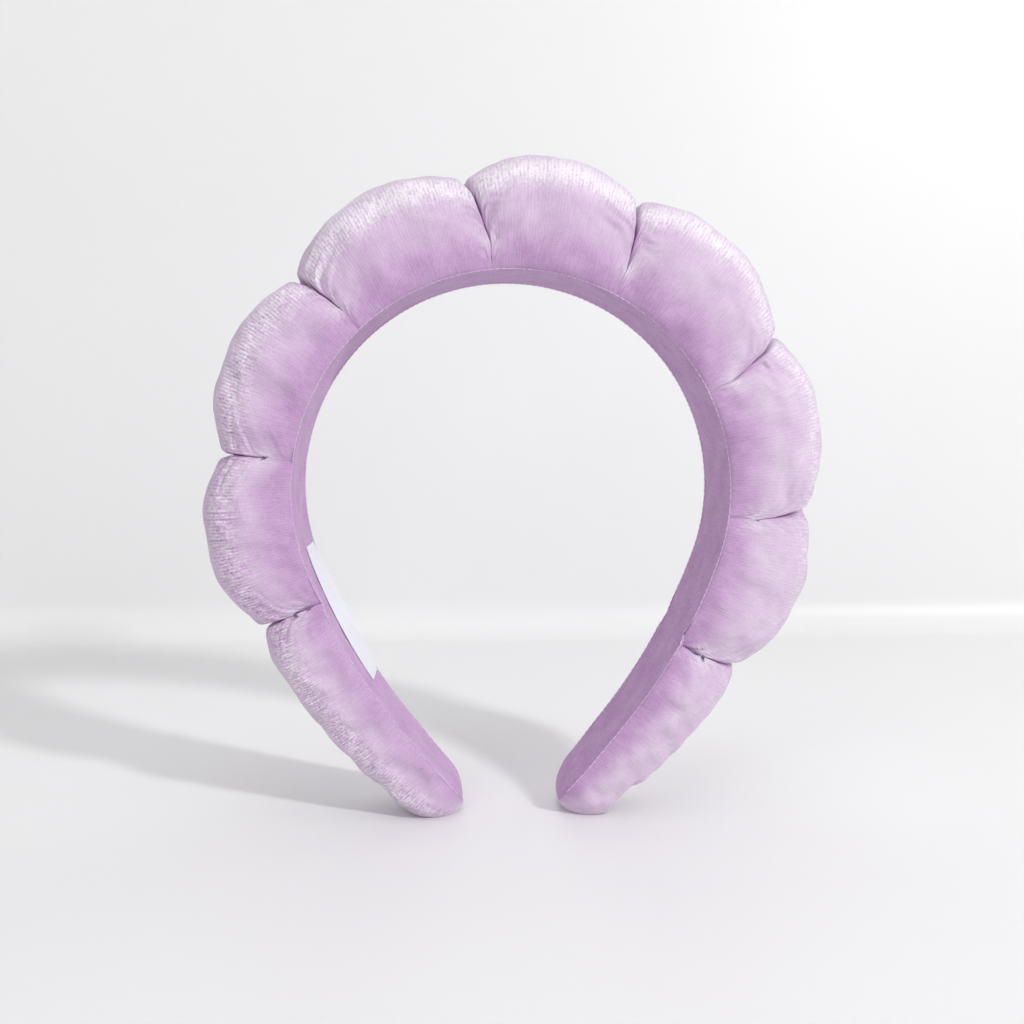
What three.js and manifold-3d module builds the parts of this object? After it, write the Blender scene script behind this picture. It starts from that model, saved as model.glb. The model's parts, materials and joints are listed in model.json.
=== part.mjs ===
// Puffy spa headband: a springy plastic hoop inside a velvet tube that is stuffed with
// sponge, drawn in by eight thread loops, and closed on the head side by a velvet lining.
//
// Millimetres, +Z up. The band stands on its two tips in the XZ plane, with its depth
// along Y. Everything is laid out along the hoop: s is the distance along the hoop's
// middle line from the top (+ towards +X), h the height above that line (away from the
// head) and y the depth.
//
// A real band bends all along. Here the hoop, cover, lining and seams are cut at six of
// the eight loops, where the band is thinnest and bends most, and turn there.
import * as THREE from 'three';
import { mergeVertices } from 'three/addons/utils/BufferGeometryUtils.js';
import Module from 'manifold-3d';

// ---- driving dimensions ------------------------------------------------------------
const headRadius = 61.4;        // inner face of the lining round the head
const wrapAngle = 110;          // degrees each side of the top before the arms open out
const armRadius = 170;          // inner face of the lining along the arms
const tipGap = 28;              // between the inner faces where the two arms end

const firstPinch = -136;        // s of the leftmost thread loop
const puffLengths = [42, 42, 41.5, 37, 40.5, 38, 42];
const puffHeights = [28.5, 29.5, 33.2, 35.2, 35.5, 32.8, 30.7];   // above the lining's face
const puffDepth = 42;           // of a puff of the height below, front to back
const puffDepthHeight = 35;
const depthPerHeight = 0.5;     // how much less deep a lower puff is
const notchDepth = 7.5;         // of the outline between two puffs, on the outside
const notchSide = 4.5;          // the same on the front and back faces

const tailRootHeight = 23.5;
const tailTipHeight = 17;
const tailRootDepth = 38;
const tailTipDepth = 25;
const tailRise = 12;            // length over which a tail swells from its loop
const tailNotch = 3.5;
const tipRound = 9;             // length of the rounded end
const tipSolid = 6;             // thickness of the stuffed end past the cavity
const footSink = 0.8;           // how far the soft tips flatten where they stand

const cloth = 1;                // velvet and its backing
const hoopThickness = 1.6;
const hoopWidth = 22;
const hoopTipWidth = 15;
const liningWidth = 29;
const liningTipWidth = 20;
const gap = 0.3;                // clearance between pieces that lie on each other
const hemSlot = 14;             // between the two turned-under hems of the cover

const threadDiameter = 0.8;
const threadSlack = 0.15;       // more than the gap, as a loop cuts the neck's corners
const neckTop = 4.3;            // height of the gathered cloth under a thread loop
const neckSlack = 2.2;          // between its inside and the hoop's edges
const wallOffset = 1.2;         // from a loop to the walls of the puffs beside it
const wallRun = 0.1;            // length over which a wall rises from neck to puff
const cutGap = 0.6;             // between two lengths that turn on each other

const labelLength = 45;
const labelWidth = 14.5;
const labelThickness = 0.4;
const labelInset = 1;           // from the back edge of the lining
const labelCentre = -142;       // s of the label's middle
const stitchSize = 0.4;
const stitchInset = 2;          // from the label's ends

// ---- worked out from them ----------------------------------------------------------
const hoopTop = hoopThickness / 2;
const hemTop = -hoopTop - gap;
const coverBase = hemTop - cloth;
const liningTop = coverBase - gap;
const liningFace = liningTop - cloth;
const edgeOverhang = gap + threadDiameter + 0.2;   // cover's flat base past the lining
const neckWidth = hoopWidth + 2 * (cloth + neckSlack);

const hoopRadius = headRadius - liningFace;
const armHoopRadius = armRadius - liningFace;
const wrap = THREE.MathUtils.degToRad(wrapAngle);
const wrapEnd = hoopRadius * wrap;
const armCentre = new THREE.Vector2(Math.sin(wrap), Math.cos(wrap)).multiplyScalar(headRadius - armRadius);
const armEndAngle = Math.PI - Math.asin((tipGap / 2 - armCentre.x) / armRadius);
const bandEnd = wrapEnd + armHoopRadius * (armEndAngle - wrap);

const pinches = puffLengths.reduce((list, length) => [...list, list.at(-1) + length], [firstPinch]);

// ---- the hoop's line ---------------------------------------------------------------

// Point at distance s along the hoop and height h above it, about the head's centre.
function along(s, h) {
  const side = Math.sign(s) || 1;
  const run = Math.abs(s);
  const onArm = run > wrapEnd;
  const angle = onArm ? wrap + (run - wrapEnd) / armHoopRadius : run / hoopRadius;
  const radius = (onArm ? armHoopRadius : hoopRadius) + h;
  const centre = onArm ? armCentre : new THREE.Vector2();
  return {
    x: side * (centre.x + radius * Math.sin(angle)),
    z: centre.y + radius * Math.cos(angle),
  };
}

// ---- sizes along the band ----------------------------------------------------------

const puffShares = [0.08, 0.2, 0.35, 0.5, 0.65, 0.8, 0.92];
const tipShares = [0, 0.12, 0.35, 0.65, 1];
const tailShares = [0.27, 0.45, 0.62, 0.75, 0.85, 0.94];

const puffs = puffLengths.map((length, i) => ({
  from: pinches[i],
  to: pinches[i + 1],
  height: puffHeights[i],
  depth: puffDepth - depthPerHeight * (puffDepthHeight - puffHeights[i]),
}));
const tails = [
  { from: -bandEnd, to: pinches[0], tipAt: -bandEnd },
  { from: pinches.at(-1), to: bandEnd, tipAt: bandEnd },
];

// Height of a puff's outside at a notch, shared by the two puffs that meet there.
function notchHeight(pinch) {
  const beside = puffs.filter((puff) => puff.from === pinch || puff.to === pinch);
  const mean = beside.reduce((sum, puff) => sum + puff.height, 0) / beside.length;
  return mean - notchDepth;
}

const neck = { width: neckWidth, baseWidth: neckWidth, base: -hoopTop, top: neckTop };

// Outer size of a puff: straight between its two notches, with a bulge over it.
function puffSize(puff, s) {
  const share = (s - puff.from) / (puff.to - puff.from);
  const bulge = 1 - (2 * share - 1) ** 2;
  const notch = THREE.MathUtils.lerp(notchHeight(puff.from), notchHeight(puff.to), share);
  const side = puff.depth - 2 * notchSide;
  return {
    width: side + 2 * notchSide * bulge,
    baseWidth: liningWidth + 2 * edgeOverhang,
    base: coverBase,
    top: notch + (puff.height - (notchHeight(puff.from) + notchHeight(puff.to)) / 2) * bulge + liningFace,
  };
}

// Outer size of a tail: it swells from its thread loop, tapers, and rounds off.
function tailSize(tail, s) {
  const toTip = Math.abs(tail.tipAt - s);
  const fromLoop = tail.to - tail.from - toTip;
  const share = fromLoop / (tail.to - tail.from);
  const dip = Math.max(0, 1 - fromLoop / tailRise) ** 2;
  const intoTip = Math.min(1, Math.max(0, 1 - toTip / tipRound));
  const round = Math.sqrt(1 - (0.97 * intoTip) ** 2);
  const height = THREE.MathUtils.lerp(tailRootHeight, tailTipHeight, share) - tailNotch * dip;
  const width = THREE.MathUtils.lerp(tailRootDepth, tailTipDepth, share) - 2 * notchSide * dip;
  const middle = (height + liningFace + coverBase) / 2;
  const lining = THREE.MathUtils.lerp(liningWidth, liningTipWidth, share);
  return {
    width: width * round,
    baseWidth: Math.min(lining + 2 * edgeOverhang, width) * round,
    base: middle + (coverBase - middle) * round,
    top: middle + (height + liningFace - middle) * round,
  };
}

// Section of the cover, or of a shape that lies `inset` inside it, at s.
function sizeAt(cell, s, inset) {
  const fromLoop = Math.min(
    cell.from === -bandEnd ? Infinity : s - cell.from,
    cell.to === bandEnd ? Infinity : cell.to - s,
  );
  const inNeck = fromLoop < wallOffset + inset - wallRun / 2;
  const outer = inNeck ? neck : cell.tipAt ? tailSize(cell, s) : puffSize(cell, s);
  return {
    width: outer.width - 2 * inset,
    baseWidth: outer.baseWidth - 2 * inset,
    base: inNeck ? outer.base - 2 * gap : outer.base + inset,
    top: outer.top - inset,
    inNeck,
  };
}

// Where the sections of a shape that lies `inset` inside a cell are taken: at the same
// places for every inset, and at the two ends of each wall.
function stations(cell, inset) {
  const wall = wallOffset + inset;
  const list = cell.tipAt ? tailStations(cell) : puffStations(cell);
  if (cell.from !== -bandEnd) list.unshift(cell.from + wall - wallRun, cell.from + wall);
  if (cell.to !== bandEnd) list.push(cell.to - wall, cell.to - wall + wallRun);
  return list;
}

function puffStations(puff) {
  return puffShares.map((share) => THREE.MathUtils.lerp(puff.from, puff.to, share));
}

function tailStations(tail) {
  const length = tail.to - tail.from;
  const fromTip = [...tipShares.map((share) => share * tipRound), ...tailShares.map((share) => share * length)];
  return tail.tipAt < 0 ? fromTip.map((run) => run - bandEnd) : fromTip.map((run) => bandEnd - run).reverse();
}

// ---- outlines, each a closed list of [y, h] ----------------------------------------

const crownSteps = 10;
const roundness = 2 / 2.4;      // power that squares the crown's ellipse a little

// D shape: a rounded crown over a flat base.
function domeOutline({ width, baseWidth, base, top }) {
  const half = width / 2;
  const halfBase = baseWidth / 2;
  const shoulder = base + (top - base) * 0.42;
  const points = [];
  for (let i = 0; i <= crownSteps; i += 1) {
    const angle = (Math.PI * i) / crownSteps;
    const across = Math.sign(Math.cos(angle)) * Math.abs(Math.cos(angle)) ** roundness;
    points.push([half * across, shoulder + (top - shoulder) * Math.sin(angle) ** roundness]);
  }
  const corner = Math.PI / 4;
  const cornerY = halfBase + (half - halfBase) * Math.cos(corner);
  const cornerH = shoulder + (base - shoulder) * Math.sin(corner);
  points.push([-cornerY, cornerH], [-halfBase, base], [halfBase, base], [cornerY, cornerH]);
  return points;
}

// The cover's inside: the dome with the slot between its hems.
function cavityOutline(size) {
  const points = domeOutline(size);
  const slot = hemSlot / 2;
  const below = size.base - 3 * cloth;
  points.splice(-2, 0, [-slot, size.base], [-slot, below], [slot, below], [slot, size.base]);
  return points;
}

// The sponge fills the dome down to the hoop's top. Where the dome is narrower than its
// base, the sponge's foot stays inside the flank.
function spongeOutline(size) {
  const foot = hoopTop + gap;
  const points = domeOutline(size);
  const [[baseY, base], [cornerY, cornerH]] = points.slice(-2);
  const flankY = THREE.MathUtils.mapLinear(Math.min(foot, cornerH), base, cornerH, baseY, cornerY);
  const footHalf = cornerY < baseY ? flankY : Infinity;
  return points.map(([y, h]) => (h < foot ? [Math.sign(y) * Math.min(Math.abs(y), footHalf), foot] : [y, h]));
}

function boxOutline(y0, y1, h0, h1) {
  return [[y1, h0], [y1, h1], [y0, h1], [y0, h0]];
}

// ---- solids ------------------------------------------------------------------------

function indexedGeometry(points, faces) {
  const geometry = new THREE.BufferGeometry();
  geometry.setAttribute('position', new THREE.Float32BufferAttribute(points.flat(), 3));
  geometry.setIndex(faces.flat());
  return geometry;
}

// Solid through outlines at a list of s, closed by a face at each end.
function loft(list, outlineAt) {
  const points = [];
  const outlines = list.map(outlineAt);
  outlines.forEach((outline, i) => {
    outline.forEach(([y, h]) => {
      const place = along(list[i], h);
      points.push([place.x, y, place.z]);
    });
  });
  const count = outlines[0].length;
  const faces = [];
  for (let i = 0; i + 1 < outlines.length; i += 1) {
    for (let j = 0; j < count; j += 1) {
      const a = i * count + j;
      const b = i * count + ((j + 1) % count);
      faces.push([a, b, b + count], [a, b + count, a + count]);
    }
  }
  const last = (outlines.length - 1) * count;
  const capOf = (outline) => THREE.ShapeUtils.triangulateShape(outline.map(([y, h]) => new THREE.Vector2(y, h)), []);
  capOf(outlines[0]).forEach(([a, b, c]) => faces.push([a, c, b]));
  capOf(outlines.at(-1)).forEach(([a, b, c]) => faces.push([last + a, last + b, last + c]));
  return indexedGeometry(points, faces);
}

// Evenly spaced s from one end to the other, about `pitch` apart.
function evenly(from, to, pitch) {
  const count = Math.max(1, Math.round((to - from) / pitch));
  return Array.from({ length: count + 1 }, (_, i) => from + ((to - from) * i) / count);
}

// Ring of thread lying round an outline at one s.
function threadLoop(s, outline, radius) {
  const sides = 5;
  const loop = new THREE.CatmullRomCurve3(outline.map(([y, h]) => new THREE.Vector3(0, y, h)), true);
  const steps = 24;
  const points = [];
  const faces = [];
  for (let i = 0; i < steps; i += 1) {
    const at = loop.getPointAt(i / steps);
    const tangent = loop.getTangentAt(i / steps);
    for (let j = 0; j < sides; j += 1) {
      const turn = (2 * Math.PI * j) / sides;
      const out = radius * Math.cos(turn);
      const place = along(s + radius * Math.sin(turn), at.z - out * tangent.y);
      points.push([place.x, at.y + out * tangent.z, place.z]);
      const a = i * sides + j;
      const b = i * sides + ((j + 1) % sides);
      const wrapped = ((i + 1) % steps) * sides;
      const c = wrapped + ((j + 1) % sides);
      const d = wrapped + j;
      faces.push([a, c, b], [a, d, c]);
    }
  }
  return indexedGeometry(points, faces);
}

// Line that runs along the band beside the lining's edge.
class EdgeLine extends THREE.Curve {
  constructor(from, to, yAt, h) {
    super();
    Object.assign(this, { from, to, yAt, h });
  }

  getPoint(share, target = new THREE.Vector3()) {
    const s = THREE.MathUtils.lerp(this.from, this.to, share);
    const place = along(s, this.h);
    return target.set(place.x, this.yAt(s), place.z);
  }
}

const wasm = await Module();
wasm.setup();

function toManifold(geometry) {
  const bare = geometry.clone();
  bare.deleteAttribute('normal');
  bare.deleteAttribute('uv');
  const merged = mergeVertices(bare);
  return new wasm.Manifold(new wasm.Mesh({
    numProp: 3,
    vertProperties: merged.attributes.position.array,
    triVerts: new Uint32Array(merged.index.array),
  }));
}

function fromManifold(solid) {
  const mesh = solid.getMesh();
  const geometry = new THREE.BufferGeometry();
  geometry.setAttribute('position', new THREE.BufferAttribute(new Float32Array(mesh.vertProperties), 3));
  geometry.setIndex(Array.from(mesh.triVerts));
  return geometry;
}

// ---- sub-parts ---------------------------------------------------------------------

const taper = (wide, narrow, s) => {
  const tail = tails.find((each) => s >= each.from && s <= each.to);
  if (!tail) return wide;
  const share = 1 - Math.abs(tail.tipAt - s) / (tail.to - tail.from);
  return THREE.MathUtils.lerp(wide, narrow, share);
};
const liningHalf = (s) => taper(liningWidth, liningTipWidth, s) / 2;
const hoopHalf = (s) => taper(hoopWidth, hoopTipWidth, s) / 2;

// The cells of one length of the band: one puff, or a puff and the tail beyond it.
function cellsOf(length) {
  const all = [tails[0], ...puffs, tails[1]];
  return all.filter((cell) => cell.from >= length.from && cell.to <= length.to);
}

// Ends of a length: free of the next length by the cut gap, and clear of a tip by `short`.
function endsOf(length, short) {
  return {
    from: length.from === -bandEnd ? -bandEnd + short : length.from + cutGap / 2,
    to: length.to === bandEnd ? bandEnd - short : length.to - cutGap / 2,
  };
}

function coverLoft(length, inset, outline, ends) {
  const cellAt = (s) => cellsOf(length).find((cell) => s >= cell.from && s <= cell.to) ?? cellsOf(length)[0];
  const inside = cellsOf(length).flatMap((cell) => stations(cell, inset));
  const list = [ends.from, ...inside.filter((s) => s > ends.from && s < ends.to), ends.to];
  return loft(list, (s) => outline(sizeAt(cellAt(Math.min(Math.max(s, length.from), length.to)), s, inset)));
}

function cover(length, floor) {
  const outerOutline = (size) => domeOutline({ ...size, base: size.inNeck ? -hoopTop : size.base });
  const outer = toManifold(coverLoft(length, 0, outerOutline, endsOf(length, 0)));
  const ends = endsOf(length, tipSolid);
  const past = cutGap / 2;
  const through = {
    from: length.from === -bandEnd ? ends.from : ends.from - past,
    to: length.to === bandEnd ? ends.to : ends.to + past,
  };
  const hollow = outer.subtract(toManifold(coverLoft(length, cloth, cavityOutline, through)));
  return fromManifold(floor ? hollow.subtract(toManifold(floor)) : hollow);
}

function hoop(length) {
  const ends = endsOf(length, tipSolid + gap + cloth);
  return loft(evenly(ends.from, ends.to, 9), (s) => boxOutline(-hoopHalf(s), hoopHalf(s), -hoopTop, hoopTop));
}

function lining(length) {
  const ends = endsOf(length, tipRound);
  return loft(evenly(ends.from, ends.to, 9), (s) => boxOutline(-liningHalf(s), liningHalf(s), liningFace, liningTop));
}

function sponge(cell) {
  const inset = cloth + gap;
  const wall = wallOffset + inset;
  const short = tipSolid + gap;
  const from = cell.from === -bandEnd ? cell.from + short : cell.from + wall;
  const to = cell.to === bandEnd ? cell.to - short : cell.to - wall;
  const list = [from, ...stations(cell, inset).filter((s) => s > from && s < to), to];
  return loft(list, (s) => spongeOutline(sizeAt(cell, s, inset)));
}

function cinchThread(pinch) {
  const radius = threadDiameter / 2;
  const off = gap + threadSlack + radius;
  const half = neckWidth / 2 + off;
  const outline = domeOutline({ width: 2 * half, baseWidth: 2 * half, base: -hoopTop - off, top: neckTop + off });
  outline.splice(-2, 0, ...[-0.9, -0.4, 0.4, 0.9].map((share) => [share * half, -hoopTop - off]));
  return threadLoop(pinch, outline, radius);
}

function edgeSeam(length, side) {
  const ends = endsOf(length, tipRound + 1);
  const radius = threadDiameter / 2;
  const line = new EdgeLine(ends.from, ends.to, (s) => side * (liningHalf(s) + gap + radius), liningTop - radius);
  const section = new THREE.Shape().absarc(0, 0, radius, 0, 2 * Math.PI);
  const steps = evenly(ends.from, ends.to, 6).length - 1;
  return new THREE.ExtrudeGeometry(section, { steps, curveSegments: 3, extrudePath: line });
}

const labelFace = liningFace - gap - labelThickness;

function label() {
  const back = liningWidth / 2 - labelInset;
  const list = evenly(labelCentre - labelLength / 2, labelCentre + labelLength / 2, 9);
  return loft(list, () => boxOutline(back - labelWidth, back, labelFace, labelFace + labelThickness));
}

function labelStitch(s) {
  const back = liningWidth / 2 - labelInset - 1;
  const top = labelFace - gap;
  const list = [s - stitchSize / 2, s + stitchSize / 2];
  return loft(list, () => boxOutline(back - labelWidth + 2, back, top - stitchSize, top));
}

// ---- assembly ----------------------------------------------------------------------

const velvet = { color: 0xcda9d8, roughness: 0.75, metalness: 0 };
const velvetInside = { color: 0xb07fc0, roughness: 0.85, metalness: 0 };
const spongeLook = { color: 0xf1ecdc, roughness: 0.95, metalness: 0 };
const plastic = { color: 0xe9e7e4, roughness: 0.4, metalness: 0 };
const thread = { color: 0x6d4a80, roughness: 0.7, metalness: 0 };
const satin = { color: 0xf4f6fb, roughness: 0.3, metalness: 0 };

const band = new THREE.Group();

function add(name, geometry, look) {
  const mesh = new THREE.Mesh(geometry, new THREE.MeshStandardMaterial(look));
  mesh.name = name;
  band.add(mesh);
}

// Height of the head's centre over the floor: the lowest point of a rounded tip, less
// what the tips flatten.
const tipPoints = evenly(bandEnd - 2 * tipRound, bandEnd, 0.5);
const tipDepths = tipPoints.map((s) => along(s, tailSize(tails[1], s).top).z);
const centreHeight = -Math.min(...tipDepths) - footSink;

const lengths = [
  { name: 'left_end', from: -bandEnd, to: pinches[1] },
  { name: 'left_side', from: pinches[1], to: pinches[2] },
  { name: 'left_upper', from: pinches[2], to: pinches[3] },
  { name: 'crown', from: pinches[3], to: pinches[4] },
  { name: 'right_upper', from: pinches[4], to: pinches[5] },
  { name: 'right_side', from: pinches[5], to: pinches[6] },
  { name: 'right_end', from: pinches[6], to: bandEnd },
];

const floorSize = 400;
const floor = new THREE.BoxGeometry(floorSize, floorSize, floorSize);
floor.translate(0, 0, -centreHeight - floorSize / 2);

for (const length of lengths) {
  const standing = length.name.endsWith('_end');
  add(`hoop_${length.name}`, hoop(length), plastic);
  add(`cover_${length.name}`, cover(length, standing && floor), velvet);
  add(`lining_${length.name}`, lining(length), velvetInside);
  add(`seam_front_${length.name}`, edgeSeam(length, -1), thread);
  add(`seam_back_${length.name}`, edgeSeam(length, 1), thread);
}

const spongeNames = [
  'left_tail', 'left_lower', 'left_side', 'left_upper', 'crown',
  'right_upper', 'right_side', 'right_lower', 'right_tail',
];
[tails[0], ...puffs, tails[1]].forEach((cell, i) => add(`sponge_${spongeNames[i]}`, sponge(cell), spongeLook));

const threadNames = ['left_4', 'left_3', 'left_2', 'left_1', 'right_1', 'right_2', 'right_3', 'right_4'];
pinches.forEach((pinch, i) => add(`cinch_thread_${threadNames[i]}`, cinchThread(pinch), thread));

const stitchReach = labelLength / 2 - stitchInset;
add('label', label(), satin);
add('label_stitch_lower', labelStitch(labelCentre - stitchReach), satin);
add('label_stitch_upper', labelStitch(labelCentre + stitchReach), satin);

// The uneven puffs reach further on one side, so the band is centred by its box.
const box = new THREE.Box3().setFromObject(band);
band.position.set(-(box.min.x + box.max.x) / 2, 0, centreHeight);

export default band;
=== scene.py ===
# The looks of the puffy spa headband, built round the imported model.
import json
import math

import bpy
import numpy as np
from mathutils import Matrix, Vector

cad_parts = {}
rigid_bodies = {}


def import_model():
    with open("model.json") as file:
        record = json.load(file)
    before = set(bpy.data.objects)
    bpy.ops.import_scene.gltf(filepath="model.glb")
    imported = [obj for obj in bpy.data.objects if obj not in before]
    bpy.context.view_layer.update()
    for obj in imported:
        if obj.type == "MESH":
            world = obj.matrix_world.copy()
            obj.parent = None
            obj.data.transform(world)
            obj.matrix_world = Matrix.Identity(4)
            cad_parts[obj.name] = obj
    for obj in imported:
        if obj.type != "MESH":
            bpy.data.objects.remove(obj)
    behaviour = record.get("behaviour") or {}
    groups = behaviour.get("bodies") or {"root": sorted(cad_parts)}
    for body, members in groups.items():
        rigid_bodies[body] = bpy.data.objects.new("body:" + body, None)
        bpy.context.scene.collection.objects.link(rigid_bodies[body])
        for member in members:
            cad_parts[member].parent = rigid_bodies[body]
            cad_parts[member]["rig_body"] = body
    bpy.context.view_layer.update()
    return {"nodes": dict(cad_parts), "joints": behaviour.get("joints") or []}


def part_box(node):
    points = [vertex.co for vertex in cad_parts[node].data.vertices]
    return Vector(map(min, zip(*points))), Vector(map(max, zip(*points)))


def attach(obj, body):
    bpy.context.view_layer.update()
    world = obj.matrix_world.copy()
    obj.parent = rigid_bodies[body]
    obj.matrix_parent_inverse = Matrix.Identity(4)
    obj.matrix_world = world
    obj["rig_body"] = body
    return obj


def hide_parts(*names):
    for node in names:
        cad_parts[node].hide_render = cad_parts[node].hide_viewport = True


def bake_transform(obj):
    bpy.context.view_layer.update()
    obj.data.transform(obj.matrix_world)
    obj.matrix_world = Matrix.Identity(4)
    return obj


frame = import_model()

mm = 0.001
nodes = frame["nodes"]

# ---- what the frame says -----------------------------------------------------------
# s is the distance along the hoop's middle line from the top (+ towards +X), h the
# height above that line, away from the head, and y the depth.


def corners_of(node):
    """The distinct vertices of a CAD node."""
    co = np.empty(len(nodes[node].data.vertices) * 3)
    nodes[node].data.vertices.foreach_get("co", co)
    return np.unique(np.round(co.reshape(-1, 3), 7), axis=0)


def fit_circle(x, z):
    """Centre and radius of the circle that lies nearest to the points."""
    rows = np.c_[2 * x, 2 * z, np.ones(len(x))]
    cx, cz, k = np.linalg.lstsq(rows, x * x + z * z, rcond=None)[0]
    return np.array([cx, cz]), math.sqrt(k + cx * cx + cz * cz)


pivots = np.array([joint["pos_m"] for joint in frame["joints"]])
head, hoop_radius = fit_circle(pivots[:, 0], pivots[:, 2])
surely_on_arm = math.radians(118)   # from the top, past where the arms leave the head's circle


def middle_of_arm():
    """Points on the middle line of the right arm's hoop."""
    points = corners_of("hoop_right_end")
    points = points[points[:, 1] > 0][:, [0, 2]]
    angle = np.arctan2(points[:, 0] - head[0], points[:, 1] - head[1])
    pairs = points[np.argsort(angle)].reshape(-1, 2, 2)
    middle = pairs.mean(1)
    return middle[np.sort(angle)[::2] > surely_on_arm]


arm_points = middle_of_arm()
arm, arm_radius = fit_circle(arm_points[:, 0], arm_points[:, 1])
wrap = math.atan2(head[0] - arm[0], head[1] - arm[1])
wrap_end = hoop_radius * wrap


def along(s, h):
    """x and z of the point at distance s along the hoop and height h above it."""
    s, h = np.broadcast_arrays(s, h)
    run = np.abs(s)
    on_arm = run > wrap_end
    angle = np.where(on_arm, wrap + (run - wrap_end) / arm_radius, run / hoop_radius)
    radius = np.where(on_arm, arm_radius, hoop_radius) + h
    cx = np.where(on_arm, arm[0] - head[0], 0)
    cz = np.where(on_arm, arm[1], head[1])
    side = np.where(s < 0, -1, 1)
    return head[0] + side * (cx + radius * np.sin(angle)), cz + radius * np.cos(angle)


def to_band(x, z):
    """s and h of points of the frame."""
    across, up = np.abs(x - head[0]), z - head[1]
    angle = np.arctan2(across, up)
    arm_x, arm_z = across - (arm[0] - head[0]), z - arm[1]
    arm_angle = np.arctan2(arm_x, arm_z)
    on_arm = angle > wrap
    run = np.where(on_arm, wrap_end + (arm_angle - wrap) * arm_radius, angle * hoop_radius)
    h = np.where(on_arm, np.hypot(arm_x, arm_z) - arm_radius, np.hypot(across, up) - hoop_radius)
    return np.where(x < head[0], -run, run), h


def middle_s(node):
    """Distance along the band of the middle of a node's box."""
    low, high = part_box(node)
    return float(to_band((low.x + high.x) / 2, (low.z + high.z) / 2)[0])


pinches = sorted(middle_s(n) for n in nodes if n.startswith("cinch_thread"))
skin = np.concatenate([corners_of(n) for n in nodes if n.startswith("cover_")])
skin_s, skin_h = to_band(skin[:, 0], skin[:, 2])
hoop_end = float(to_band(arm_points[-1, 0], arm_points[-1, 1])[0])
on_middle = np.abs(skin[:, 1]) < 4 * mm
band_end = float(np.abs(skin_s[on_middle]).max())
lining_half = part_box("lining_crown")[1].y
hoop_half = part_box("hoop_crown")[1].y


def extent(low, high):
    """Half depth and height of the CAD cover between two distances along the band."""
    inside = (skin_s >= low) & (skin_s <= high)
    return np.array([np.abs(skin[inside, 1]).max(), skin_h[inside].max()])


hoop_top = 0.8 * mm             # half the hoop's thickness
gap = 0.3 * mm                  # between pieces that lie on each other
cloth = 1.0 * mm                # velvet and its backing
cover_base = -(hoop_top + gap + cloth)
lining_top = cover_base - gap
pressed = 0.5 * mm              # how much thinner the lining's cloth is, glued to the hoop
lining_face = lining_top - cloth + pressed

# ---- the cover's outline -----------------------------------------------------------

neck_sizes = (14.2 * mm, 14.2 * mm, -0.8 * mm, 4.3 * mm)   # half depth, half base, base and top
base_half = lining_half + 1.3 * mm
lip_run = 2.6 * mm              # from a crease to where its puff is full
lip_power = 4.6                 # how tightly the two puffs press together
wall_reach = 1.7 * mm           # from a loop to just past the CAD walls
fine = 0.7 * mm                 # pitch of the cover's mesh along the band
notch_cut = np.array([0.7, 1.7]) * mm     # off the solids' half depth and height at a crease
end_notch_cut = 1.6 * mm        # lower still where a puff meets a tail
peak_cut = 1.5 * mm             # off them at a puff's middle
bulge_powers = 2.1, 0.8         # of a puff's rise between two creases
slants = np.array([0.5, 1.2, 3.0, 4.5, 4.0, 4.5, 4.5, 3.0]) * mm   # of each crease, front to back
slant_depth = 12 * mm           # half the depth over which a crease slants
slant_heights = np.array([4, 28]) * mm    # where the slant is whole, and where it is gone
tail_dip = np.array([4.2, 3.4]) * mm      # how much a tail narrows towards its crease
tail_dip_run = 13 * mm
tail_cut = np.array([0, 0.8]) * mm        # off the solids' half depth and height of a tail
tip_run = 11 * mm               # length of the rounded end
tip_reach = 4.5 * mm            # the soft tip squeezes out past the model's, flat on the floor
tip_level = 0.33                # of the tip's height where it comes to its end
seam_droop = 1.1 * mm           # how far the sewn edges hang below the cover's flat base
seam_inset = 0.5 * mm           # from the sewn edges to the widest part of the cover


def lerp(a, b, t):
    """The value that lies the share t of the way from a to b."""
    return a + (b - a) * t


def smooth(t):
    """A step from 0 to 1 that starts and ends gently."""
    t = np.clip(t, 0, 1)
    return t * t * (3 - 2 * t)


def lip_samples(count=22):
    """Run and rise of the rounded edge of a puff, from its crease up."""
    turn = np.linspace(0, math.pi / 2, count, endpoint=False)
    power = 2 / lip_power
    return 1 - np.cos(turn) ** power, np.sin(turn) ** power


def notch_at(pinch):
    """Half depth and height of the cover at a crease."""
    lower = end_notch_cut if pinch in (pinches[0], pinches[-1]) else 0
    return extent(pinch - wall_reach, pinch + wall_reach) - notch_cut - lower


def slant(s, y, h):
    """Shift along the band of a crease that is wound at a slant, from its place on the crest."""
    size = np.interp(s, [-band_end, *pinches, band_end], [0, *slants, 0])
    low, high = slant_heights
    return size * np.clip(-y / slant_depth, -1, 1) * np.clip((high - h) / (high - low), 0, 1)


def puff_sections(start, end):
    """Sections from one crease to the next: s, half depth, half base, base, top and rise."""
    run, rise = lip_samples()
    count = int((end - start - 2 * lip_run) / fine)
    inner = np.linspace(start + lip_run, end - lip_run, count)
    s = np.r_[start + lip_run * run, inner, (end - lip_run * run)[::-1]]
    rise = np.r_[rise, np.ones(count), rise[::-1]]
    share = (s - start) / (end - start)
    middle = (start + end) / 2
    peak = extent(middle - 3 * mm, middle + 3 * mm) - peak_cut
    first, last = notch_at(start), notch_at(end)
    bulge = ((1 - np.abs(2 * share - 1) ** bulge_powers[0]) ** bulge_powers[1])[:, None]
    body = lerp(first, last, share[:, None]) + (peak - (first + last) / 2) * bulge
    base = np.minimum(base_half, body[:, 0] - seam_inset)
    return np.c_[s, body[:, 0], base, np.full(len(s), cover_base), body[:, 1], rise]


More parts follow.
